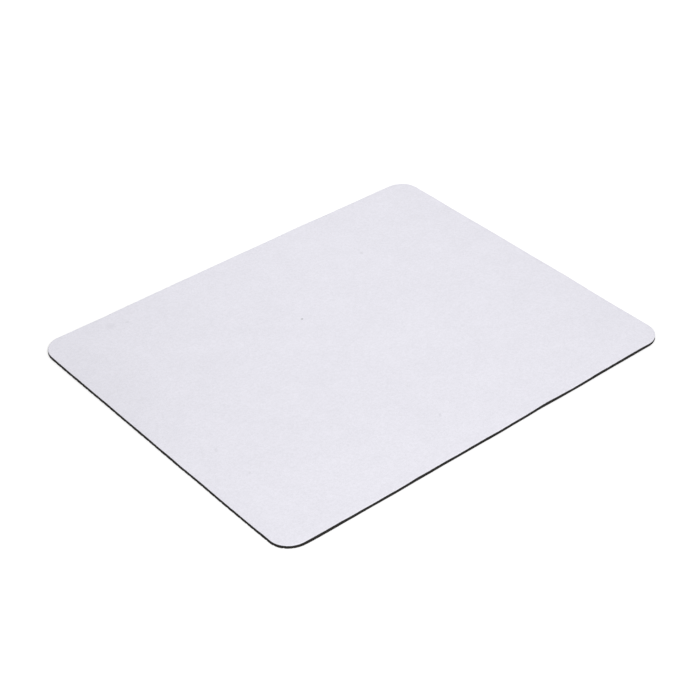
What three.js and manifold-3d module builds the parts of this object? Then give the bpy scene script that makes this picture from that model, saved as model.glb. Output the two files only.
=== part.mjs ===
// Mouse pad: a knitted cloth face on a foam rubber base, with a thin bonding film between them.
// The three sheets are laminated flat and cut together by one steel-rule die.
// Millimetres, +Z up. The origin is the middle of the pad, on the surface that the pad lies on.

import * as THREE from "three";
import { toCreasedNormals } from "three/addons/utils/BufferGeometryUtils.js";
import Module from "manifold-3d";

const wasm = await Module();
wasm.setup();

// Outline of the cutting die
const padLength = 260;
const padWidth = 210;
const cornerRadius = 12;
const cornerSteps = 8;

// Thickness of each sheet
const baseThickness = 1.6;
const filmThickness = 0.1;
const clothThickness = 0.3;

// Cut edge of the cloth, which the die draws down as it goes through
const shoulderWidth = 0.5;
const shoulderDrop = 0.2;
const shoulderSteps = 5;

// Cut edge of the film and of the rubber, which springs back hollow once the die has passed
const filmSetback = 0.05;
const wallHollow = 0.12;
const wallSteps = 4;

// Anti-slip tread under the rubber: wavy grooves along the pad, which run out at its short ends
const groovePitch = 5;
const grooveMouth = 1.8;
const grooveDepth = 0.3;
const waveLength = 14;
const waveHeight = 2.4;
const plainBorder = 1;

// What a cutter reaches past the face that it cuts
const overrun = 1;

// Colour, roughness and metalness of each sheet
const clothFinish = { color: 0xe7e6ee, roughness: 0.95, metalness: 0 };
const filmFinish = { color: 0xb9b4a6, roughness: 0.45, metalness: 0 };
const rubberFinish = { color: 0x2a292b, roughness: 0.85, metalness: 0 };

// The heights of the joints between the sheets follow from their thicknesses
const filmFloor = baseThickness;
const clothFloor = filmFloor + filmThickness;
const clothTop = clothFloor + clothThickness;

// The die's outline moved in by an inset, as a level ring of points, anticlockwise from above
function ringAt(inset, height) {
  const right = padLength / 2 - cornerRadius;
  const back = padWidth / 2 - cornerRadius;
  const radius = cornerRadius - inset;
  const quarter = Math.PI / 2;
  const outline = new THREE.Path();
  outline.absarc(right, back, radius, 0, quarter);
  outline.absarc(-right, back, radius, quarter, 2 * quarter);
  outline.absarc(-right, -back, radius, 2 * quarter, 3 * quarter);
  outline.absarc(right, -back, radius, 3 * quarter, 4 * quarter);
  return outline.getPoints(cornerSteps).map((point) => new THREE.Vector3(point.x, point.y, height));
}

// A closed body through a row of convex rings that all have the same number of points
function loft(rings) {
  const sides = rings[0].length;
  const lastRing = sides * (rings.length - 1);
  const faces = [];
  for (let start = 0; start < lastRing; start += sides) {
    for (let side = 0; side < sides; side += 1) {
      const here = start + side;
      const next = start + ((side + 1) % sides);
      faces.push(here, next, next + sides);
      faces.push(here, next + sides, here + sides);
    }
  }
  for (let side = 1; side < sides - 1; side += 1) {
    faces.push(0, side + 1, side);
    faces.push(lastRing, lastRing + side, lastRing + side + 1);
  }
  const body = new THREE.BufferGeometry().setFromPoints(rings.flat());
  body.setIndex(new THREE.BufferAttribute(new Uint32Array(faces), 1));
  return body;
}

function solidFrom(body) {
  return new wasm.Manifold(
    new wasm.Mesh({
      numProp: 3,
      vertProperties: body.getAttribute("position").array,
      triVerts: body.getIndex().array,
    }),
  );
}

function bodyFrom(solid) {
  const { vertProperties, triVerts } = solid.getMesh();
  const body = new THREE.BufferGeometry();
  body.setAttribute("position", new THREE.BufferAttribute(vertProperties, 3));
  body.setIndex(new THREE.BufferAttribute(triVerts, 1));
  return body;
}

// Numbers from 0 to 1 in even steps, for profiles
function evenShares(steps) {
  return Array.from({ length: steps + 1 }, (_, step) => step / steps);
}

// The cloth stands straight up from the film, then rounds over its drawn-down shoulder
function clothSheet() {
  const shoulderFoot = clothTop - shoulderDrop;
  const shoulder = evenShares(shoulderSteps).map((share) => {
    const turn = (share * Math.PI) / 2;
    const inset = shoulderWidth * (1 - Math.cos(turn));
    return ringAt(inset, shoulderFoot + shoulderDrop * Math.sin(turn));
  });
  return loft([ringAt(0, clothFloor), ...shoulder]);
}

// The film lies back a little from the cut, as glue that has drawn in
function filmSheet() {
  return loft([ringAt(filmSetback, filmFloor), ringAt(filmSetback, clothFloor)]);
}

// The rubber before its tread is cut, with the hollow wall that a die leaves in foam
function plainBase() {
  const wall = evenShares(wallSteps).map((share) => {
    const inset = wallHollow * Math.sin(share * Math.PI);
    return ringAt(inset, baseThickness * share);
  });
  return loft(wall);
}

// A bar as long as the pad and bent from side to side, with a V-shaped top, which cuts one groove
function grooveCutter(row) {
  const halfWave = waveLength / 2;
  const halfMouth = grooveMouth / 2;
  const bends = Math.ceil(padLength / waveLength) + 1;
  const sections = [];
  for (let bend = -bends; bend < bends; bend += 1) {
    const x = (bend + 1 / 2) * halfWave;
    const side = bend % 2 === 0 ? 1 : -1;
    const y = row + (side * waveHeight) / 2;
    sections.push([
      new THREE.Vector3(x, y + halfMouth, -overrun),
      new THREE.Vector3(x, y + halfMouth, 0),
      new THREE.Vector3(x, y, grooveDepth),
      new THREE.Vector3(x, y - halfMouth, 0),
      new THREE.Vector3(x, y - halfMouth, -overrun),
    ]);
  }
  return loft(sections);
}

// The rubber with a groove in every row that fits between the plain borders of the long sides
function rubberBase() {
  const outermost = padWidth / 2 - plainBorder - (waveHeight + grooveMouth) / 2;
  const rowsEachSide = Math.floor(outermost / groovePitch);
  let base = solidFrom(plainBase());
  for (let row = -rowsEachSide; row <= rowsEachSide; row += 1) {
    base = base.subtract(solidFrom(grooveCutter(row * groovePitch)));
  }
  return bodyFrom(base);
}

// Edges sharper than this stay crisp when the sheet is shaded
const creaseAngle = THREE.MathUtils.degToRad(24);

function sheet(name, body, finish) {
  const mesh = new THREE.Mesh(toCreasedNormals(body, creaseAngle), new THREE.MeshStandardMaterial(finish));
  mesh.name = name;
  return mesh;
}

const mousePad = new THREE.Group();
mousePad.name = "mouse_pad";
mousePad.add(sheet("rubber_base", rubberBase(), rubberFinish));
mousePad.add(sheet("bonding_film", filmSheet(), filmFinish));
mousePad.add(sheet("cloth_face", clothSheet(), clothFinish));

export default mousePad;
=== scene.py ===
# %% [markdown]
# A cloth-faced mouse pad
#
# The real pad is a laminate of three sheets: knitted white polyester on top, black foam rubber
# underneath, and a thin film of heat-set adhesive between them. A roll of this laminate is cut by a
# steel-rule die, so all three edges are one cut, and that cut is where the pad shows how it is made.
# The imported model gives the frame: where each sheet lies and how big it is. Blender is used here for
# what the frame leaves out: the knit, the drawn-down cloth edge, the foam's pores and the tread.

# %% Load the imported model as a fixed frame
import math
import random

import bmesh
import bpy
from mathutils import Matrix, Vector, noise


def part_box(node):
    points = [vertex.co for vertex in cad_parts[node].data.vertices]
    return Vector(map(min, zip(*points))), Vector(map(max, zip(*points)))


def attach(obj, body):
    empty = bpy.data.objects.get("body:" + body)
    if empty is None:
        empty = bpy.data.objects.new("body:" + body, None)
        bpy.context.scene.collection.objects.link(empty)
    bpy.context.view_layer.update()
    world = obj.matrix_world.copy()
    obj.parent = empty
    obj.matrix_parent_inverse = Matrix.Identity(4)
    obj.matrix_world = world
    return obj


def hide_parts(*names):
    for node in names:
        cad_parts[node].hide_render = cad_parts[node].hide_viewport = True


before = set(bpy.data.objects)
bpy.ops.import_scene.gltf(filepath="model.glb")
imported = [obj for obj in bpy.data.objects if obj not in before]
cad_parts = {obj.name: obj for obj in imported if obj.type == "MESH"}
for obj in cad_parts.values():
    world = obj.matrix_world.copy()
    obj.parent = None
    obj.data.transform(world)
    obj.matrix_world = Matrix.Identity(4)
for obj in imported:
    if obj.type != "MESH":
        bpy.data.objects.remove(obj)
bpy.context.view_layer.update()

MM = 0.001

# %% [markdown]
# The camera
#
# The photograph looks down at one corner of the pad from a little less than a metre away, through a
# lens of about 90 mm. Its place could be found by eye, by moving the camera until the outline fits.
# Here it was worked out from the four straight edges: where opposite edges would meet gives the lens
# and the turn, and how thick the dark edge looks gives the distance.

# %% Camera
LENS_MM = 90.04
SENSOR_MM = 36.0
CAMERA_AZIMUTH = math.radians(-40.17)
CAMERA_ELEVATION = math.radians(36.89)
CAMERA_ROLL = math.radians(-0.335)
CAMERA_DISTANCE = 927.6 * MM
LOOK_AT = Vector((-6.71, -5.72, 2.0)) * MM


def towards(azimuth, elevation):
    """The direction from the pad to something that stands at this azimuth and elevation."""
    level = math.cos(elevation)
    return Vector((math.sin(azimuth) * level, -math.cos(azimuth) * level, math.sin(elevation)))


def aim(thing, place, target, roll=0.0):
    """Puts a camera or lamp at a place, looking at a target, turned about its own line of sight."""
    turn = (target - place).to_track_quat("-Z", "Y").to_matrix() @ Matrix.Rotation(roll, 3, "Z")
    thing.matrix_world = Matrix.Translation(place) @ turn.to_4x4()


camera = bpy.data.objects.new("camera", bpy.data.cameras.new("camera"))
bpy.context.scene.collection.objects.link(camera)
camera.data.lens = LENS_MM
camera.data.sensor_width = SENSOR_MM
camera_place = LOOK_AT + towards(CAMERA_AZIMUTH, CAMERA_ELEVATION) * CAMERA_DISTANCE
aim(camera, camera_place, LOOK_AT, CAMERA_ROLL)
bpy.context.scene.camera = camera
bpy.context.scene.view_settings.view_transform = "Standard"
print("camera at", [round(v / MM) for v in camera_place], "mm")

# %% [markdown]
# Colours and nodes
#
# Colours are written as the sRGB hex values that a picture editor shows. Shaders work on linear
# light, so one function turns them over. Another adds a node, sets it and links it in one call, so
# that each material below reads as a list of what feeds what. Two more return sockets that several
# materials need: which rays see a background, and the place on the piece in millimetres.

# %% Helpers for materials
MM_PER_METRE = 1000.0


def linear(hex_colour):
    """A hex colour such as #E7E6EE as the linear RGBA that a shader socket takes."""
    shares = [int(hex_colour[place:place + 2], 16) / 255 for place in (1, 3, 5)]
    return [s / 12.92 if s <= 0.04045 else ((s + 0.055) / 1.055) ** 2.4 for s in shares] + [1.0]


def add_node(tree, kind, sockets=(), **settings):
    """Adds a node, sets its properties, and sets or links the inputs named or numbered in sockets."""
    node = tree.nodes.new(kind)
    for name, value in settings.items():
        setattr(node, name, value)
    for name, value in dict(sockets).items():
        if isinstance(value, bpy.types.NodeSocket):
            tree.links.new(value, node.inputs[name])
        else:
            node.inputs[name].default_value = value
    return node


def new_material(name):
    """A material with an empty node tree and its output node, for the cells below to fill."""
    material = bpy.data.materials.new(name)
    material.use_nodes = True
    material.node_tree.nodes.clear()
    return material, material.node_tree, material.node_tree.nodes.new("ShaderNodeOutputMaterial")


def seen_rays(tree):
    """A socket that is 1 for rays by which a background is seen, straight or in a gloss, and else 0."""
    rays = add_node(tree, "ShaderNodeLightPath")
    seen = add_node(tree, "ShaderNodeMath", {
        0: rays.outputs["Is Camera Ray"], 1: rays.outputs["Is Glossy Ray"]}, operation="MAXIMUM")
    seen = add_node(tree, "ShaderNodeMath", {
        0: seen.outputs[0], 1: rays.outputs["Is Transmission Ray"]}, operation="MAXIMUM")
    return seen.outputs[0]


def place_in_mm(tree):
    """A socket with the place on the piece in millimetres, the unit in which the patterns are sized."""
    place = add_node(tree, "ShaderNodeTexCoord")
    in_mm = add_node(tree, "ShaderNodeVectorMath", {
        0: place.outputs["Object"], 1: (MM_PER_METRE,) * 3}, operation="MULTIPLY")
    return in_mm.outputs[0]


print("a middle grey, #808080, is", round(linear("#808080")[0], 3), "of white in linear light")

# %% [markdown]
# The light
#
# In the photograph the cloth is a few percent darker at its far left corner, brightest near the corner
# towards the camera, and even in between, and no shadow shows. One lamp can't do that. Two soft lamps
# do: one beside the camera, whose shadow the pad itself hides, and one above the far right. A pale sky
# fills the rest. The lamps' places and shares were found by trying many against the way in which the
# cloth's brightness falls off in the photograph, and were then rounded. Each share below is how much of
# the cloth's light that source gives. They add up to a little over one, because the knit shades itself,
# and so a colour renders as it is written.

# %% Lamps and sky
SKY_WHITE = "#FFFEFF"
SKY_SHARE = 0.375
LAMPS = {
    "front_lamp": {"azimuth": -23, "elevation": 40, "distance": 1.2, "share": 0.42},
    "back_lamp": {"azimuth": 144, "elevation": 62, "distance": 0.4, "share": 0.295},
}
LAMP_SIZE = 0.35

for lamp_name, lamp_facts in LAMPS.items():
    lamp_elevation = math.radians(lamp_facts["elevation"])
    lamp_place = towards(math.radians(lamp_facts["azimuth"]), lamp_elevation) * lamp_facts["distance"]
    lamp = bpy.data.objects.new(lamp_name, bpy.data.lights.new(lamp_name, "AREA"))
    bpy.context.scene.collection.objects.link(lamp)
    lamp.data.size = LAMP_SIZE
    # A lamp of this power gives a level white surface the wanted share of full brightness.
    slant = math.sin(lamp_elevation)
    lamp.data.energy = lamp_facts["share"] * math.pi ** 2 * lamp_facts["distance"] ** 2 / slant
    lamp.visible_camera = False
    aim(lamp, lamp_place, Vector((0, 0, 0)))
    print(lamp_name, "power", round(lamp.data.energy, 2), "W")

world = bpy.data.worlds.new("pale_sky")
world.use_nodes = True
world.node_tree.nodes.clear()
bpy.context.scene.world = world
sky_strength = add_node(world.node_tree, "ShaderNodeMapRange", {
    "Value": seen_rays(world.node_tree), "To Min": SKY_SHARE, "To Max": 1.0})
sky = add_node(world.node_tree, "ShaderNodeBackground", {
    "Color": linear(SKY_WHITE), "Strength": sky_strength.outputs[0]})
add_node(world.node_tree, "ShaderNodeOutputWorld", {"Surface": sky.outputs[0]})

# %% [markdown]
# The floor
#
# The photograph's ground is pure white, and the pad lies flat on it. The floor is a large white plane.
# Its paint is a pale grey, which doesn't flood the cut edge with light, and to the camera it also glows
# until it is white, more so far from the pad, where the lamps reach less. Close to the pad the glow is
# weak enough for the floor to take the thin shadow under the edge.

# %% Floor
FLOOR_GREY = "#CBCBCB"
FLOOR_HALF = 6.0
GLOW_STARTS = 0.17
GLOW_ENDS = 0.45
GLOW_NEAR = 0.52
GLOW_FAR = 0.80

floor_mesh = bpy.data.meshes.new("floor")
floor_shape = bmesh.new()
bmesh.ops.create_grid(floor_shape, x_segments=1, y_segments=1, size=FLOOR_HALF)
floor_shape.to_mesh(floor_mesh)
floor_shape.free()
floor = bpy.data.objects.new("floor", floor_mesh)
bpy.context.scene.collection.objects.link(floor)

floor_paint, tree, output = new_material("white_matt_paint")
matt = add_node(tree, "ShaderNodeBsdfDiffuse", {"Color": linear(FLOOR_GREY)})
spot = add_node(tree, "ShaderNodeTexCoord")
from_pad = add_node(tree, "ShaderNodeVectorMath", {0: spot.outputs["Object"]}, operation="LENGTH")
glow_here = add_node(tree, "ShaderNodeMapRange", {
    "Value": from_pad.outputs["Value"], "From Min": GLOW_STARTS, "From Max": GLOW_ENDS,
    "To Min": GLOW_NEAR, "To Max": GLOW_FAR})
glow_here = add_node(tree, "ShaderNodeMath", {
    0: glow_here.outputs[0], 1: seen_rays(tree)}, operation="MULTIPLY")
glow = add_node(tree, "ShaderNodeEmission", {"Strength": glow_here.outputs[0]})
both = add_node(tree, "ShaderNodeAddShader", {0: matt.outputs[0], 1: glow.outputs[0]})
tree.links.new(both.outputs[0], output.inputs["Surface"])
floor_mesh.materials.append(floor_paint)
print("floor", 2 * FLOOR_HALF, "m square")

# %% [markdown]
# The die
#
# A steel-rule die is a blade bent to the outline: four straight sides and four round corners. Its
# outline could be drawn as a curve and filled, but a filled face has no grid inside it to carry the
# foam's swell. So each sheet starts larger than the pad and is cut with bisect_plane, once for each
# straight side and a few times round each corner, and its rim is then moved onto the true arc.
#
# A bmesh operator may hand its new vertices back in another order in each run, and so may a Python set.
# Where a random number is drawn for each of them, they are taken in order round the pad, so that every
# run gives the same pad.

# %% Sizes of the sheets, from the frame
cloth_low, cloth_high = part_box("cloth_face")
film_low, film_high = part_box("bonding_film")
base_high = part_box("rubber_base")[1]
HALF_LENGTH = cloth_high.x
HALF_WIDTH = cloth_high.y
CORNER_RADIUS = 12 * MM
FACETS_PER_CORNER = 10
CORNER_X = HALF_LENGTH - CORNER_RADIUS
CORNER_Y = HALF_WIDTH - CORNER_RADIUS
SPARE = 8 * MM
print("cut to", round(2 * HALF_LENGTH / MM, 1), "by", round(2 * HALF_WIDTH / MM, 1), "mm")


# %% Tools that follow the die's outline
CUT_REACH = 6 * MM
CUT_TOLERANCE = 1e-7
RIM_MERGE = 0.02 * MM


def outward(place):
    """The level direction out through the nearest cut edge, and the place inside that it starts from."""
    core = Vector((min(max(place.x, -CORNER_X), CORNER_X), min(max(place.y, -CORNER_Y), CORNER_Y)))
    return (place.xy - core).normalized().to_3d(), core.to_3d()


def way_round(place):
    """How far round the pad a place on its rim lies, as an angle."""
    return math.atan2(place.y, place.x)


def rim_of(bm):
    """The open edges all round a sheet."""
    return [e for e in bm.edges if e.is_boundary]


def verts_of(edges):
    """The vertices at the ends of some edges, each once."""
    return {v for e in edges for v in e.verts}


def set_on_edge(vert, inset, height):
    """Moves a rim vertex onto the outline, moved in by inset, at a height."""
    out, core = outward(vert.co)
    vert.co = core + out * (CORNER_RADIUS - inset)
    vert.co.z = height


def level_grid(height, segments_long, segments_wide):
    """A bmesh of one level grid at a height, larger than the pad all round, with this many squares."""
    grid = bmesh.new()
    size = Matrix.Diagonal((2 * (HALF_LENGTH + SPARE), 2 * (HALF_WIDTH + SPARE), 1, 1))
    bmesh.ops.create_grid(
        grid, x_segments=segments_long, y_segments=segments_wide, size=0.5,
        matrix=Matrix.Translation((0, 0, height)) @ size)
    return grid


def die_cut(bm, inset=0.0):
    """Cuts a larger level sheet to the outline moved in by inset, and gives the rim's edges."""
    radius = CORNER_RADIUS - inset
    for quarter, (side_x, side_y) in enumerate(((1, 1), (-1, 1), (-1, -1), (1, -1))):
        corner = Vector((side_x * CORNER_X, side_y * CORNER_Y, 0))
        for facet in range(FACETS_PER_CORNER):
            angle = (quarter + facet / FACETS_PER_CORNER) * math.pi / 2
            blade = Vector((math.cos(angle), math.sin(angle), 0))
            cut = corner + blade * radius
            near = [f for f in bm.faces if (f.calc_center_median() - cut).dot(blade) > -CUT_REACH]
            parts = [*near, *(v for f in near for v in f.verts), *(e for f in near for e in f.edges)]
            bmesh.ops.bisect_plane(
                bm, geom=list(dict.fromkeys(parts)), dist=CUT_TOLERANCE, plane_co=cut, plane_no=blade,
                clear_outer=True)
    bmesh.ops.remove_doubles(bm, verts=[v for v in bm.verts if v.is_boundary], dist=RIM_MERGE)
    rim = rim_of(bm)
    for vert in verts_of(rim):
        set_on_edge(vert, inset, vert.co.z)
    return rim


def grow_rim(bm, rim, place):
    """Extrudes a rim, sets each new vertex with place(vertex), and gives the new rim."""
    grown = bmesh.ops.extrude_edge_only(bm, edges=rim)["geom"]
    new_verts = [g for g in grown if isinstance(g, bmesh.types.BMVert)]
    for vert in sorted(new_verts, key=lambda v: way_round(v.co)):
        place(vert)
    return [g for g in grown if isinstance(g, bmesh.types.BMEdge)]


print("outwards at the right end is", outward(Vector((HALF_LENGTH, 0, 0)))[0][:])


# %% [markdown]
# How true the cut is
#
# Foam gives way under a blade and springs back, so the sides of such a pad bow outwards by a few tenths
# of a millimetre in their middles, wander a little, and the sheet swells and sinks between its bubbles.
# All three sheets share this, because one blade cut them, so one function moves every vertex. A parabola
# gives the bow, measured from the line that fits the side best, and smooth noise the wandering. The
# steel is bent cold, so it isn't quite true either: in the photograph the near corner is flatter than
# an arc and the others are fuller, and a few places on the sides stand in or out. A push that fades with
# distance gives each of these. Its place, reach and strength are rounded values in millimetres, chosen
# from how far the render's edges lay from the photograph's.

# %% Bow and drift of the cut, and swell of the foam
BOW_RIGHT = 0.60 * MM
BOW_LEFT = 0.25 * MM
BOW_BACK = 0.76 * MM
BOW_FRONT = 0.42 * MM
DRIFTS = ((0.15 * MM, 28 * MM), (0.10 * MM, 11 * MM))
DRIFT_SEED_X = Vector((1.5, 2.5, 3.5))
DRIFT_SEED_Y = Vector((4.5, 5.5, 6.5))
BENDS = (
    {"name": "far corner", "place": (128, 100), "reach": 7, "push": (0.5, 0.4)},
    {"name": "near corner", "place": (-122, -104), "reach": 8, "push": (0.1, 0.4)},
    {"name": "right corner", "place": (128, -99), "reach": 8, "push": (0.35, -0.2)},
    {"name": "left corner", "place": (-121, 105), "reach": 8, "push": (-0.1, 0.3)},
    {"name": "back", "place": (-90, 105), "reach": 8, "push": (0.0, -0.25)},
    {"name": "back", "place": (48, 105), "reach": 14, "push": (0.0, 0.2)},
    {"name": "right", "place": (130, -65), "reach": 14, "push": (-0.2, 0.0)},
    {"name": "right", "place": (130, -32), "reach": 16, "push": (0.2, 0.0)},
    {"name": "right", "place": (130, 80), "reach": 14, "push": (0.25, 0.0)},
    {"name": "front", "place": (8, -105), "reach": 8, "push": (0.0, -0.15)},
    {"name": "front", "place": (-30, -105), "reach": 10, "push": (0.0, 0.25)},
    {"name": "front", "place": (38, -105), "reach": 10, "push": (0.0, 0.2)},
)
SWELLS = ((0.030 * MM, 28 * MM), (0.012 * MM, 9 * MM))
SWELL_SEED = Vector((0.0, 8.1, 5.2))


def bow(along, across, low_bow, high_bow):
    """How far a side's bow moves a place, given where it lies as shares of half the sheet."""
    return across * (1 / 3 - along ** 2) * (high_bow if across > 0 else low_bow)


def rolling(place, parts, seed):
    """Smooth noise at a place, summed over pairs of a height and a length."""
    return sum(height * noise.noise(place.xy.to_3d() / length + seed) for height, length in parts)


def fading(place, spot):
    """How much of a push in millimetres is left at a place, given the spot that it spreads from."""
    away = (place.xy / MM - Vector(spot["place"])).length / spot["reach"]
    return math.exp(-away ** 2) * MM


def drift(place):
    """How far the cut moved this place from the true outline, as a level vector."""
    along, across = place.x / HALF_LENGTH, place.y / HALF_WIDTH
    moved = Vector((bow(across, along, BOW_LEFT, BOW_RIGHT), bow(along, across, BOW_FRONT, BOW_BACK)))
    moved += Vector((rolling(place, DRIFTS, DRIFT_SEED_X), rolling(place, DRIFTS, DRIFT_SEED_Y)))
    for bend in BENDS:
        moved += Vector(bend["push"]) * fading(place, bend)
    return moved.to_3d()


def swell(place):
    """How far the cloth stands above or below its level at this place."""
    return rolling(place, SWELLS, SWELL_SEED)


print("bends:", [bend["name"] for bend in BENDS])
print("the back's middle moves by", [round(v / MM, 3) for v in drift(Vector((0, HALF_WIDTH, 0)))], "mm")


# %% Turning a finished bmesh into a piece
SHARP_ANGLE = math.radians(50)


def finish_piece(name, bm):
    """Drifts the shape with the cut, makes it an object on the root body and gives the object."""
    for vert in bm.verts:
        vert.co += drift(vert.co)
    bmesh.ops.recalc_face_normals(bm, faces=bm.faces)
    open_edges = len(rim_of(bm))
    mesh = bpy.data.meshes.new(name)
    bm.to_mesh(mesh)
    bm.free()
    mesh.shade_smooth()
    mesh.set_sharp_from_angle(angle=SHARP_ANGLE)
    piece = bpy.data.objects.new(name, mesh)
    bpy.context.scene.collection.objects.link(piece)
    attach(piece, "root")
    print(name, len(mesh.polygons), "faces,", open_edges, "open edges")
    return piece


print("edges over", round(math.degrees(SHARP_ANGLE)), "degrees stay sharp")


# %% [markdown]
# The cloth sheet
#
# The face is a fine weft-knitted polyester, about 0.3 mm thick. The die presses on it before it
# cuts, so its top edge is rounded and drawn down. In some places the blade drags the lower edge of the
# white over the film and the rubber, and in others it wipes black up over the white, which makes the
# ragged line between white and black in the photograph. A grid with its rim extruded ring by ring gives
# the shape: the shoulder, the cut face, the dragged burr, and the flat back that is glued down.

# %% Cloth: top, shoulder and cut face
SHOULDER_WIDTH = 0.5 * MM
SHOULDER_DROP = 0.2 * MM
SHOULDER_STEPS = 5
CLOTH_SQUARES = (106, 87)
RIM_CUTS = 3

cloth = level_grid(cloth_high.z, *CLOTH_SQUARES)
cloth_rim = die_cut(cloth, SHOULDER_WIDTH)
bmesh.ops.subdivide_edges(cloth, edges=cloth_rim, cuts=RIM_CUTS)
cloth_rim = rim_of(cloth)
for vert in verts_of(cloth_rim):
    set_on_edge(vert, SHOULDER_WIDTH, cloth_high.z)
for vert in cloth.verts:
    vert.co.z += swell(vert.co)
for step in range(1, SHOULDER_STEPS + 1):
    fall = step / SHOULDER_STEPS * math.pi / 2
    ring_inset = SHOULDER_WIDTH * (1 - math.sin(fall))
    ring_drop = SHOULDER_DROP * (1 - math.cos(fall))
    cloth_rim = grow_rim(
        cloth, cloth_rim,
        lambda v: set_on_edge(v, ring_inset, cloth_high.z - ring_drop + swell(v.co)))
print("cloth rim has", len(cloth_rim), "edges")

# %% [markdown]
# Where white meets black
#
# One function says how far down the white reaches at each place on the cut. It is a sum of smooth noise
# of a few lengths, and the few places where the photograph shows the white plainly lower or higher than
# beside them are added one by one, in millimetres again: round two of the corners, where the blade bends,
# and along the two near sides. Two things use the function. The burr hangs down as far as the white
# does. And the number is written on the vertices of the cut edge as an attribute, by which the material,
# further below, knows where its wiped black starts.

# %% Cloth: how far down the white reaches, and the burr
REACH_MEAN = -0.05 * MM
REACH_PARTS = ((0.08 * MM, 22 * MM), (0.10 * MM, 10 * MM), (0.08 * MM, 5 * MM), (0.04 * MM, 0.9 * MM))
REACH_SEED = Vector((7.5, 8.5, 9.5))
REACH_SPOTS = (
    {"name": "right corner", "place": (123, -104), "reach": 5, "height": 0.2},
    {"name": "near corner", "place": (-125, -102), "reach": 8, "height": 0.15},
    {"name": "front", "place": (-112, -105), "reach": 4, "height": -0.15},
    {"name": "left", "place": (-130, -65), "reach": 40, "height": 0.12},
    {"name": "front", "place": (-75, -105), "reach": 8, "height": 0.1},
    {"name": "front", "place": (-21, -105), "reach": 5, "height": 0.12},
    {"name": "front", "place": (27, -105), "reach": 8, "height": 0.12},
    {"name": "front", "place": (60, -105), "reach": 8, "height": 0.25},
    {"name": "front", "place": (78, -105), "reach": 6, "height": -0.15},
)
REACH_LEAST = -0.11 * MM
BURR_BELOW = 0.03 * MM
BURR_THICKNESS = 0.09 * MM
BURR_INNER_SHARE = 0.6


def white_reach(place):
    """How far below the cloth's back the white reaches, which is less than nothing under wiped black."""
    reach = REACH_MEAN + rolling(place, REACH_PARTS, REACH_SEED)
    reach += sum(spot["height"] * fading(place, spot) for spot in REACH_SPOTS)
    return max(REACH_LEAST, reach)


def burr(place):
    """How far the cloth's lower edge hangs over the rubber: a little further than its white."""
    return max(0.0, white_reach(place) + BURR_BELOW)


cloth_rim = grow_rim(cloth, cloth_rim, lambda v: set_on_edge(v, 0.0, cloth_low.z - burr(v.co)))
most_burr = max(burr(v.co) for v in verts_of(cloth_rim))
cloth_rim = grow_rim(cloth, cloth_rim, lambda v: set_on_edge(
    v, BURR_THICKNESS, cloth_low.z - burr(v.co) * BURR_INNER_SHARE))
cloth_rim = grow_rim(cloth, cloth_rim, lambda v: set_on_edge(v, 2 * BURR_THICKNESS, cloth_low.z))
bmesh.ops.contextual_create(cloth, geom=cloth_rim)
cut_line = [sorted((v.co.copy() for v in e.verts), key=way_round) for e in cloth_rim]
cut_line.sort(key=lambda ends: way_round(ends[0] + ends[1]))
print("places of the white:", [spot["name"] for spot in REACH_SPOTS])
print("burr hangs down by up to", round(most_burr / MM, 2), "mm")

# %% [markdown]
# Yarn ends
#
# Each stitch that the blade went through leaves an end of yarn, which stands out of the cut by a tenth
# or two of a millimetre. Together they soften the white edge. Each end starts as a small triangle in
# the cloth, facing outwards and mostly down, because the blade came from above. One extrusion then
# draws them all out, and each new vertex goes to the tip that its foot belongs to.

# %% Cloth: yarn ends along the cut
END_SIDES = 3
END_SPACING = 0.33 * MM
END_ROOT = 0.08 * MM
END_LENGTHS = (0.14 * MM, 0.38 * MM)
END_RADIUS = 0.03 * MM
END_TAPER = 0.5
END_RISES = (math.radians(-55), math.radians(20))
END_SPLAY = math.radians(50)
yarn_random = random.Random(5)

feet = []
tips = {}
for near_end, far_end in cut_line:
    ends_here = math.floor((near_end - far_end).length / END_SPACING + yarn_random.random())
    for _ in range(ends_here):
        out, core = outward(near_end.lerp(far_end, yarn_random.random()))
        root = core + out * (CORNER_RADIUS - END_ROOT)
        root.z = yarn_random.uniform(cloth_low.z, cloth_high.z - SHOULDER_DROP)
        rise = yarn_random.uniform(*END_RISES)
        turned = Matrix.Rotation(yarn_random.uniform(-END_SPLAY, END_SPLAY), 3, "Z") @ out
        pointed = turned * math.cos(rise) + Vector((0, 0, math.sin(rise)))
        drawn = pointed * yarn_random.uniform(*END_LENGTHS)
        arm = turned.cross(Vector((0, 0, 1))) * END_RADIUS
        turns = [side * 2 * math.pi / END_SIDES for side in range(END_SIDES)]
        arms = [Matrix.Rotation(turn, 3, pointed) @ arm for turn in turns]
        foot = [cloth.verts.new(root + a) for a in arms]
        feet.append(cloth.faces.new(foot))
        for vert, a in zip(foot, arms):
            tips[vert] = root + drawn + a * END_TAPER
grown = bmesh.ops.extrude_face_region(cloth, geom=feet, use_keep_orig=True)["geom"]
for vert in (g for g in grown if isinstance(g, bmesh.types.BMVert)):
    vert.co = next(tips[e.other_vert(vert)] for e in vert.link_edges if e.other_vert(vert) in tips)
print("yarn ends:", len(feet))

# %% Cloth: the white's reach written on the cut edge
EDGE_BAND = 0.4 * MM

reach_layer = cloth.verts.layers.float.new("white_reach_mm")
for vert in cloth.verts:
    out, core = outward(vert.co)
    if (vert.co.xy - core.xy).length > CORNER_RADIUS - EDGE_BAND:
        vert[reach_layer] = white_reach(core + out * CORNER_RADIUS) / MM
reaches = [vert[reach_layer] for vert in cloth.verts]
print("white reaches from", round(min(reaches), 2), "to", round(max(reaches), 2), "mm below the back")

# %% Cloth: the finished sheet
cloth_sheet = finish_piece("cloth_sheet", cloth)
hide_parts("cloth_face")

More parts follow.
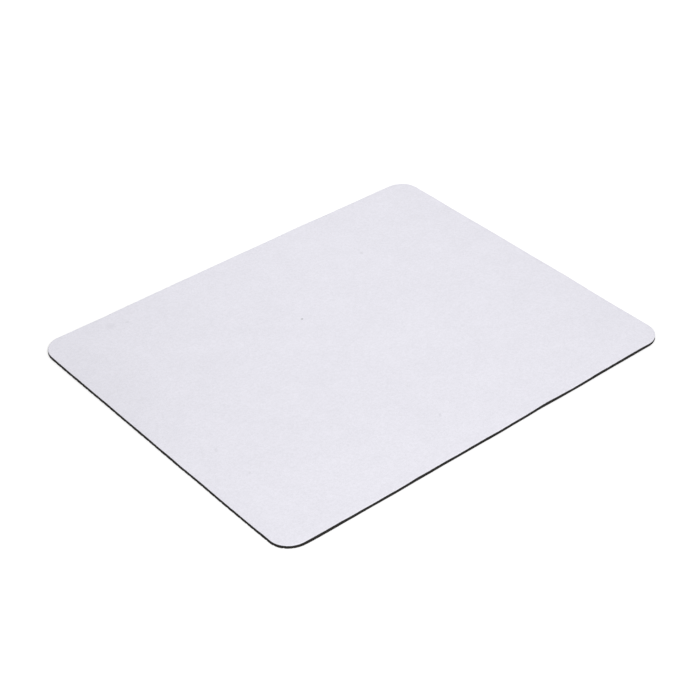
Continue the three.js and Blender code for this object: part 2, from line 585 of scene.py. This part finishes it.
# %% [markdown]
# The bonding film
#
# The adhesive is a film that is melted between the sheets. Squeezed by the press, it oozes to the cut
# and stops just short of it here and there, so its edge is a fine glossy line of uneven depth. It is
# cut like the others, with one extruded ring for its thickness.

# %% Film
FILM_SQUARES = (90, 70)
FILM_SETBACK = 0.14 * MM
FILM_OOZE = 0.04 * MM
OOZE_LENGTH = 4 * MM


def ooze(place):
    """How far behind the cut the film's edge lies at this place."""
    return FILM_SETBACK - FILM_OOZE * noise.noise(place.xy.to_3d() / OOZE_LENGTH)


film = level_grid(film_low.z, *FILM_SQUARES)
film_rim = die_cut(film)
bmesh.ops.subdivide_edges(film, edges=film_rim, cuts=1)
film_rim = rim_of(film)
for vert in verts_of(film_rim):
    set_on_edge(vert, ooze(vert.co), film_low.z)
film_rim = grow_rim(film, film_rim, lambda v: set_on_edge(v, ooze(v.co), film_high.z))
bmesh.ops.contextual_create(film, geom=film_rim)
bond_film = finish_piece("bond_film", film)
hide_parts("bonding_film")

# %% [markdown]
# The foam base and its tread
#
# The base is foam rubber with a skin moulded against a patterned steel sheet, which leaves wavy
# grooves that let air out and grip the desk. One groove's section is drawn as a few vertices and
# extruded along the wave, the strip is copied row by row, and plain borders are extruded at both
# sides. That is a sheet of tread larger than the pad, and the die then cuts it where it falls.

# %% Tread: one strip, swept along the wave
GROOVE_PITCH = 5 * MM
GROOVE_MOUTH = 1.8 * MM
GROOVE_DEPTH = 0.3 * MM
GROOVE_STEPS = 6
WAVE_LENGTH = 14 * MM
WAVE_HEIGHT = 2.4 * MM
STEPS_PER_WAVE = 10
PLAIN_BORDER = 1 * MM
FOOT_FLARE = 0.13 * MM


def wave(x):
    """How far to the side a groove's middle lies at this place along it."""
    return WAVE_HEIGHT / 2 * math.sin(2 * math.pi * x / WAVE_LENGTH)


sweep_step = WAVE_LENGTH / STEPS_PER_WAVE
sweep_count = 2 * math.ceil((HALF_LENGTH + SPARE) / sweep_step)
sweep_start = -sweep_count / 2 * sweep_step
base = bmesh.new()
section = []
for step in range(GROOVE_STEPS + 1):
    turn = 2 * math.pi * step / GROOVE_STEPS
    across = GROOVE_MOUTH * (step / GROOVE_STEPS - 0.5)
    section.append(base.verts.new((sweep_start, across + wave(sweep_start),
                                   GROOVE_DEPTH * (1 - math.cos(turn)) / 2)))
land_end = GROOVE_PITCH - GROOVE_MOUTH / 2
section.append(base.verts.new((sweep_start, land_end + wave(sweep_start), 0)))
front = [base.edges.new(pair) for pair in zip(section, section[1:])]
for step in range(sweep_count):
    x = sweep_start + step * sweep_step
    onward = Vector((sweep_step, wave(x + sweep_step) - wave(x), 0))
    grown = bmesh.ops.extrude_edge_only(base, edges=front)["geom"]
    bmesh.ops.translate(base, vec=onward, verts=[g for g in grown if isinstance(g, bmesh.types.BMVert)])
    front = [g for g in grown if isinstance(g, bmesh.types.BMEdge)]
print("one strip of tread:", len(base.faces), "faces")

# %% Tread: rows, borders and the cut
ROW_MERGE = 0.01 * MM
ROUNDING_ERROR = 1e-6

outermost = HALF_WIDTH - PLAIN_BORDER - (WAVE_HEIGHT + GROOVE_MOUTH) / 2
rows_each_side = math.floor(outermost / GROOVE_PITCH + ROUNDING_ERROR)
strip = [*base.verts, *base.edges, *base.faces]
for row in range(1, 2 * rows_each_side + 1):
    copied = bmesh.ops.duplicate(base, geom=strip)["geom"]
    copied_verts = [g for g in copied if isinstance(g, bmesh.types.BMVert)]
    bmesh.ops.translate(base, vec=(0, row * GROOVE_PITCH, 0), verts=copied_verts)
bmesh.ops.translate(base, vec=(0, -rows_each_side * GROOVE_PITCH, 0), verts=base.verts)
bmesh.ops.remove_doubles(base, verts=base.verts, dist=ROW_MERGE)


def runs_along(edge):
    """True for a sheet edge that follows the wave and isn't one of its two ends."""
    start, end = (v.co.x for v in edge.verts)
    return abs(end - start) > sweep_step / 2


for side in (-1, 1):
    border = [e for e in rim_of(base) if runs_along(e) and side * e.verts[0].co.y > HALF_WIDTH / 2]
    grown = bmesh.ops.extrude_edge_only(base, edges=border)["geom"]
    for vert in (g for g in grown if isinstance(g, bmesh.types.BMVert)):
        vert.co.y = side * (HALF_WIDTH + SPARE)
base_rim = die_cut(base, -FOOT_FLARE)
print("tread:", 2 * rows_each_side + 1, "rows,", len(base.faces), "faces, rim of", len(base_rim), "edges")

# %% [markdown]
# The cut wall of the foam
#
# The blade squeezes the foam flat as it goes through, and the foam springs back behind it, so the cut
# wall is slightly hollow, its foot stands out a little, and its face is rough and open-celled. The rim
# of the tread is extruded upwards ring by ring along that hollow, and each vertex is pushed in or out
# by a few hundredths. This cell gives the rings as shares of the height and insets in millimetres.

# %% Foam wall and the face that is glued
WALL_RINGS = ((0.24, 0.00), (0.40, 0.04), (0.60, 0.07), (0.80, 0.08), (0.92, 0.06), (1.00, 0.05))
PORE_DEPTH = 0.03 * MM
wall_random = random.Random(11)

for height_share, inset_mm in WALL_RINGS:
    base_rim = grow_rim(base, base_rim, lambda v: set_on_edge(
        v, inset_mm * MM + PORE_DEPTH * (wall_random.random() - 0.5), base_high.z * height_share))
bmesh.ops.contextual_create(base, geom=base_rim)
foam_base = finish_piece("foam_base", base)
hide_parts("rubber_base")

# %% [markdown]
# Knitted polyester
#
# The face is a fine plain knit in white polyester with a bluish whitener in it, which is why it looks
# faintly lilac. Its stitches are columns of small V shapes about 0.6 mm wide, too fine to tell apart
# in the render, so the unevenness of the yarn is also drawn at 0.7 mm and up, where it shows as the
# faint grain of the photograph. The stitches are made from sine waves: one pair of legs across each
# column, slanted along it. Yarn is matt with a soft sheen at a low angle. A dark fleck, a few small
# knots in the yarn, which a spinner calls neps, one faint smudge and a broad strip along the left side,
# towards its far corner and two percent darker, are where the photograph has them. Each is noted by the
# pixel at which its middle lies there, counted from the upper left corner and right to about one pixel.
# A ray from the camera through that pixel finds its place on the cloth.

# %% Material: knitted polyester
CLOTH_WHITE = "#E7E6EE"
WIPED_BLACK = "#2B2928"
WALE_MM = 0.62
COURSE_MM = 0.46
LEG_SLANT = 0.5
YARN_WANDER_MM = 0.12
YARN_WANDER_LENGTH_MM = 2.5
# A noise texture stays mostly within NOISE_SPREAD of NOISE_MEAN.
NOISE_MEAN = 0.5
NOISE_SPREAD = 0.25

knit, tree, output = new_material("knitted_polyester")
in_mm = place_in_mm(tree)
wander = add_node(tree, "ShaderNodeTexNoise", {
    "Vector": in_mm, "Scale": 1 / YARN_WANDER_LENGTH_MM, "Detail": 2.0, "Roughness": 0.5})
wander = add_node(tree, "ShaderNodeVectorMath", {
    0: wander.outputs["Color"], 1: (NOISE_MEAN,) * 3}, operation="SUBTRACT")
wander = add_node(tree, "ShaderNodeVectorMath", {
    0: wander.outputs[0], "Scale": YARN_WANDER_MM / NOISE_SPREAD}, operation="SCALE")
yarn_place = add_node(tree, "ShaderNodeVectorMath", {0: in_mm, 1: wander.outputs[0]})
axes = add_node(tree, "ShaderNodeSeparateXYZ", {0: yarn_place.outputs[0]})
leg = add_node(tree, "ShaderNodeMath", {
    0: axes.outputs["Y"], 1: WALE_MM / 2}, operation="PINGPONG")
leg = add_node(tree, "ShaderNodeMath", {0: leg.outputs[0], 1: 2 / WALE_MM}, operation="MULTIPLY")
leg_round = add_node(tree, "ShaderNodeMath", {0: leg.outputs[0], 1: math.pi}, operation="MULTIPLY")
leg_round = add_node(tree, "ShaderNodeMath", {0: leg_round.outputs[0]}, operation="SINE")
course = add_node(tree, "ShaderNodeMath", {
    0: axes.outputs["X"], 1: 1 / COURSE_MM}, operation="MULTIPLY")
course = add_node(tree, "ShaderNodeMath", {
    0: leg.outputs[0], 1: LEG_SLANT, 2: course.outputs[0]}, operation="MULTIPLY_ADD")
course = add_node(tree, "ShaderNodeMath", {0: course.outputs[0]}, operation="FRACT")
course = add_node(tree, "ShaderNodeMath", {0: course.outputs[0], 1: math.pi}, operation="MULTIPLY")
course_round = add_node(tree, "ShaderNodeMath", {0: course.outputs[0]}, operation="SINE")
stitch = add_node(tree, "ShaderNodeMath", {
    0: leg_round.outputs[0], 1: course_round.outputs[0]}, operation="MULTIPLY")
print("knit:", WALE_MM, "by", COURSE_MM, "mm stitches")

# %% Material: yarn unevenness and marks
GRAINS = ((0.7, 0.17), (1.6, 0.110), (4.0, 0.034), (11.0, 0.030), (28.0, 0.040))
STITCH_SHARE = 0.03
# The mean of two half sine waves multiplied together.
STITCH_MEAN = 4 / math.pi ** 2
PHOTO_SIZE = 700
MARK_CORE = 0.3
MARK_END = 1.3
MARKS = (
    {"name": "dark fleck", "seen_at": (302, 319), "size": (0.75, 0.62), "turn": 0, "depth": 0.49},
    {"name": "nep", "seen_at": (361.5, 253), "size": (1.35, 1.35), "turn": 0, "depth": 0.10},
    {"name": "nep", "seen_at": (359, 250), "size": (1.2, 1.2), "turn": 0, "depth": 0.04},
    {"name": "nep", "seen_at": (249.5, 473), "size": (0.8, 1.1), "turn": -40, "depth": 0.09},
    {"name": "nep", "seen_at": (440, 415), "size": (0.7, 1.6), "turn": -40, "depth": 0.09},
    {"name": "nep", "seen_at": (216, 450), "size": (0.8, 2.1), "turn": -40, "depth": 0.07},
    {"name": "nep", "seen_at": (462.5, 325.5), "size": (1.5, 1.3), "turn": -40, "depth": 0.06},
    {"name": "nep", "seen_at": (127, 322), "size": (1.2, 1.2), "turn": 0, "depth": 0.07},
    {"name": "nep", "seen_at": (474.5, 228), "size": (0.9, 0.7), "turn": -40, "depth": 0.06},
    {"name": "smudge", "seen_at": (110.5, 326.5), "size": (2.6, 3.2), "turn": -40, "depth": 0.06},
    # The last mark is a broad strip along the left side, towards its far corner, two percent darker.
    {"name": "darker strip", "seen_at": (100, 393), "size": (25, 60), "turn": 0, "depth": 0.02},
)


def on_cloth(pixel):
    """The place on the cloth, in millimetres, that the camera sees at a pixel of the photograph."""
    across, down = pixel
    seen = Vector((across - PHOTO_SIZE / 2, PHOTO_SIZE / 2 - down, -PHOTO_SIZE * LENS_MM / SENSOR_MM))
    ray = camera.matrix_world.to_3x3() @ seen
    return (camera_place + ray * (cloth_high.z - camera_place.z) / ray.z) / MM


brightness = add_node(tree, "ShaderNodeMath", {
    0: stitch.outputs[0], 1: STITCH_SHARE, 2: 1 - STITCH_SHARE * STITCH_MEAN}, operation="MULTIPLY_ADD")
for grain_mm, grain_share in GRAINS:
    grain = add_node(tree, "ShaderNodeTexNoise", {
        "Vector": in_mm, "Scale": 1 / grain_mm, "Detail": 1.0, "Roughness": 0.5})
    grain = add_node(tree, "ShaderNodeMath", {
        0: grain.outputs["Fac"], 1: NOISE_MEAN}, operation="SUBTRACT")
    brightness = add_node(tree, "ShaderNodeMath", {
        0: grain.outputs[0], 1: grain_share, 2: brightness.outputs[0]}, operation="MULTIPLY_ADD")
for mark in MARKS:
    mark_place = on_cloth(mark["seen_at"])
    print(mark["name"], "at", [round(v, 1) for v in mark_place.xy], "mm")
    spot = add_node(tree, "ShaderNodeVectorMath", {0: in_mm, 1: mark_place}, operation="SUBTRACT")
    spot = add_node(tree, "ShaderNodeVectorRotate", {
        "Vector": spot.outputs[0], "Angle": -math.radians(mark["turn"])}, rotation_type="Z_AXIS")
    spot = add_node(tree, "ShaderNodeVectorMath", {
        0: spot.outputs[0], 1: (*mark["size"], 1.0)}, operation="DIVIDE")
    spot = add_node(tree, "ShaderNodeVectorMath", {0: spot.outputs[0]}, operation="LENGTH")
    spot = add_node(tree, "ShaderNodeMapRange", {
        "Value": spot.outputs["Value"], "From Min": MARK_CORE, "From Max": MARK_END,
        "To Min": 1 - mark["depth"], "To Max": 1.0}, interpolation_type="SMOOTHSTEP")
    brightness = add_node(tree, "ShaderNodeMath", {
        0: brightness.outputs[0], 1: spot.outputs[0]}, operation="MULTIPLY")

# %% Material: the black that the blade wipes onto the cloth's cut edge
WIPE_HEIGHT_MM = 0.13
WIPE_UNEVEN_MM = 0.10
WIPE_LENGTH_MM = 1.2

height = add_node(tree, "ShaderNodeSeparateXYZ", {0: in_mm})
reach = add_node(tree, "ShaderNodeAttribute", attribute_name="white_reach_mm")
height = add_node(tree, "ShaderNodeMath", {0: height.outputs["Z"], 1: reach.outputs["Fac"]})
wipe = add_node(tree, "ShaderNodeTexNoise", {
    "Vector": in_mm, "Scale": 1 / WIPE_LENGTH_MM, "Detail": 3.0})
wipe = add_node(tree, "ShaderNodeMath", {
    0: wipe.outputs["Fac"], 1: WIPE_UNEVEN_MM, 2: height.outputs[0]}, operation="MULTIPLY_ADD")
wipe_foot = cloth_low.z / MM + WIPE_UNEVEN_MM / 2
wipe = add_node(tree, "ShaderNodeMapRange", {
    "Value": wipe.outputs[0], "From Min": wipe_foot, "From Max": wipe_foot + WIPE_HEIGHT_MM,
    "To Min": 1.0, "To Max": 0.0})
print("wiped black fades out over", WIPE_HEIGHT_MM, "mm")

# %% Material: the cloth's colour, fuzz and relief
FUZZ_PER_MM = 6.0
FUZZ_SHARE = 0.5
KNIT_RELIEF = 0.06 * MM

white = add_node(tree, "ShaderNodeVectorMath", {
    0: linear(CLOTH_WHITE)[:3], "Scale": brightness.outputs[0]}, operation="SCALE")
colour = add_node(tree, "ShaderNodeMix", {
    "Factor": wipe.outputs[0], 6: white.outputs[0], 7: linear(WIPED_BLACK)}, data_type="RGBA")
fuzz = add_node(tree, "ShaderNodeTexNoise", {
    "Vector": in_mm, "Scale": FUZZ_PER_MM, "Detail": 3.0, "Roughness": 0.6})
relief = add_node(tree, "ShaderNodeMath", {
    0: fuzz.outputs["Fac"], 1: FUZZ_SHARE, 2: stitch.outputs[0]}, operation="MULTIPLY_ADD")
bump = add_node(tree, "ShaderNodeBump", {
    "Height": relief.outputs[0], "Strength": 0.5, "Distance": KNIT_RELIEF})
surface = add_node(tree, "ShaderNodeBsdfPrincipled", {
    "Base Color": colour.outputs[2], "Roughness": 0.92, "IOR": 1.45, "Specular IOR Level": 0.2,
    "Sheen Weight": 0.12, "Sheen Roughness": 0.5, "Normal": bump.outputs[0]})
tree.links.new(surface.outputs[0], output.inputs["Surface"])
cloth_sheet.data.materials.append(knit)
print("the cloth has", len(tree.nodes), "nodes in its material")

# %% [markdown]
# Heat-set adhesive
#
# The film is a milky hot-melt plastic, a little glossy. Only its cut edge shows, as a hair-fine line,
# and there the blade has wiped black from the rubber over most of it, as on the foot of the cloth. The
# edge is told from the flat faces by the way it looks, because the two share one material.

# %% Material: hot-melt film
FILM_MILKY = "#B9B4A6"
FILM_SMEARED = "#3E3C37"
CLOUD_MM = 1.25
CLOUD_THIN = 0.3
CLOUD_THICK = 0.7
SMEAR_LEAST = 0.75
EDGE_TILT = 0.5

hot_melt, tree, output = new_material("hot_melt_film")
in_mm = place_in_mm(tree)
cloud = add_node(tree, "ShaderNodeTexNoise", {"Vector": in_mm, "Scale": 1 / CLOUD_MM, "Detail": 3.0})
smear = add_node(tree, "ShaderNodeMapRange", {
    "Value": cloud.outputs["Fac"], "From Min": CLOUD_THIN, "From Max": CLOUD_THICK,
    "To Min": SMEAR_LEAST, "To Max": 1.0})
looks = add_node(tree, "ShaderNodeNewGeometry")
looks = add_node(tree, "ShaderNodeSeparateXYZ", {0: looks.outputs["True Normal"]})
tilt = add_node(tree, "ShaderNodeMath", {0: looks.outputs["Z"]}, operation="ABSOLUTE")
on_edge = add_node(tree, "ShaderNodeMath", {0: tilt.outputs[0], 1: EDGE_TILT}, operation="LESS_THAN")
smear = add_node(tree, "ShaderNodeMath", {
    0: smear.outputs[0], 1: on_edge.outputs[0]}, operation="MULTIPLY")
colour = add_node(tree, "ShaderNodeMix", {
    "Factor": smear.outputs[0], 6: linear(FILM_MILKY), 7: linear(FILM_SMEARED)}, data_type="RGBA")
surface = add_node(tree, "ShaderNodeBsdfPrincipled", {
    "Base Color": colour.outputs[2], "Roughness": 0.4, "IOR": 1.5})
tree.links.new(surface.outputs[0], output.inputs["Surface"])
bond_film.data.materials.append(hot_melt)
print("film edge smeared with black by", SMEAR_LEAST, "or more")

# %% [markdown]
# Foam rubber
#
# The base is natural rubber blown into foam and coloured with carbon black. Where the blade went
# through, cells a few tenths of a millimetre across lie open, so the wall is dead matt and speckled.
# Underneath, the mould left a closed skin: smoother, with the faint weave of its release cloth.
# Two materials share one piece, and each face takes the one for the way it looks.

# %% Material: cut foam rubber
FOAM_BLACK = "#151413"
FOAM_DUSTY = "#272522"
CELL_MM = 0.28
CELL_DEPTH = 0.08 * MM
DUST_PER_MM = 0.7
DUST_SHARE = 0.5

cut_foam, tree, output = new_material("cut_foam_rubber")
in_mm = place_in_mm(tree)
cells = add_node(tree, "ShaderNodeTexVoronoi", {"Vector": in_mm, "Scale": 1 / CELL_MM})
dust = add_node(tree, "ShaderNodeTexNoise", {"Vector": in_mm, "Scale": DUST_PER_MM, "Detail": 4.0})
tone = add_node(tree, "ShaderNodeMath", {
    0: dust.outputs["Fac"], 1: DUST_SHARE, 2: cells.outputs["Distance"]}, operation="MULTIPLY_ADD")
colour = add_node(tree, "ShaderNodeMix", {
    "Factor": tone.outputs[0], 6: linear(FOAM_BLACK), 7: linear(FOAM_DUSTY)}, data_type="RGBA")
bump = add_node(tree, "ShaderNodeBump", {
    "Height": cells.outputs["Distance"], "Strength": 0.8, "Distance": CELL_DEPTH})
surface = add_node(tree, "ShaderNodeBsdfPrincipled", {
    "Base Color": colour.outputs[2], "Roughness": 0.9, "IOR": 1.5, "Specular IOR Level": 0.2,
    "Normal": bump.outputs[0]})
tree.links.new(surface.outputs[0], output.inputs["Surface"])
print("foam cells are", CELL_MM, "mm across")

# %% Material: moulded rubber skin
SKIN_DARK = "#19181A"
SKIN_PALE = "#2C2B2E"
THREAD_MM = 0.7
WEAVE_DEPTH = 0.04 * MM
SKIN_GRAIN_MM = 4.0
SKIN_ROUGH_LEAST = 0.55
SKIN_ROUGH_MOST = 0.80

skin, tree, output = new_material("moulded_rubber_skin")
in_mm = place_in_mm(tree)
axes = add_node(tree, "ShaderNodeSeparateXYZ", {0: in_mm})
threads = []
for axis in ("X", "Y"):
    turns = add_node(tree, "ShaderNodeMath", {
        0: axes.outputs[axis], 1: 2 * math.pi / THREAD_MM}, operation="MULTIPLY")
    threads.append(add_node(tree, "ShaderNodeMath", {0: turns.outputs[0]}, operation="SINE"))
weave = add_node(tree, "ShaderNodeMath", {
    0: threads[0].outputs[0], 1: threads[1].outputs[0]}, operation="MULTIPLY")
grain = add_node(tree, "ShaderNodeTexNoise", {
    "Vector": in_mm, "Scale": 1 / SKIN_GRAIN_MM, "Detail": 6.0, "Roughness": 0.6})
colour = add_node(tree, "ShaderNodeMix", {
    "Factor": grain.outputs["Fac"], 6: linear(SKIN_DARK), 7: linear(SKIN_PALE)}, data_type="RGBA")
rough = add_node(tree, "ShaderNodeMapRange", {
    "Value": grain.outputs["Fac"], "To Min": SKIN_ROUGH_LEAST, "To Max": SKIN_ROUGH_MOST})
bump = add_node(tree, "ShaderNodeBump", {
    "Height": weave.outputs[0], "Strength": 0.35, "Distance": WEAVE_DEPTH})
surface = add_node(tree, "ShaderNodeBsdfPrincipled", {
    "Base Color": colour.outputs[2], "Roughness": rough.outputs[0], "IOR": 1.5,
    "Normal": bump.outputs[0]})
tree.links.new(surface.outputs[0], output.inputs["Surface"])
print("the skin's weave has threads", THREAD_MM, "mm apart")

# %% Give each face of the foam its material
# A face whose normal points down by more than this belongs to the moulded skin.
FACES_DOWN = -0.5

foam_base.data.materials.append(cut_foam)
foam_base.data.materials.append(skin)
for face in foam_base.data.polygons:
    face.material_index = 1 if face.normal.z < FACES_DOWN else 0
print("moulded faces:", sum(f.material_index for f in foam_base.data.polygons))
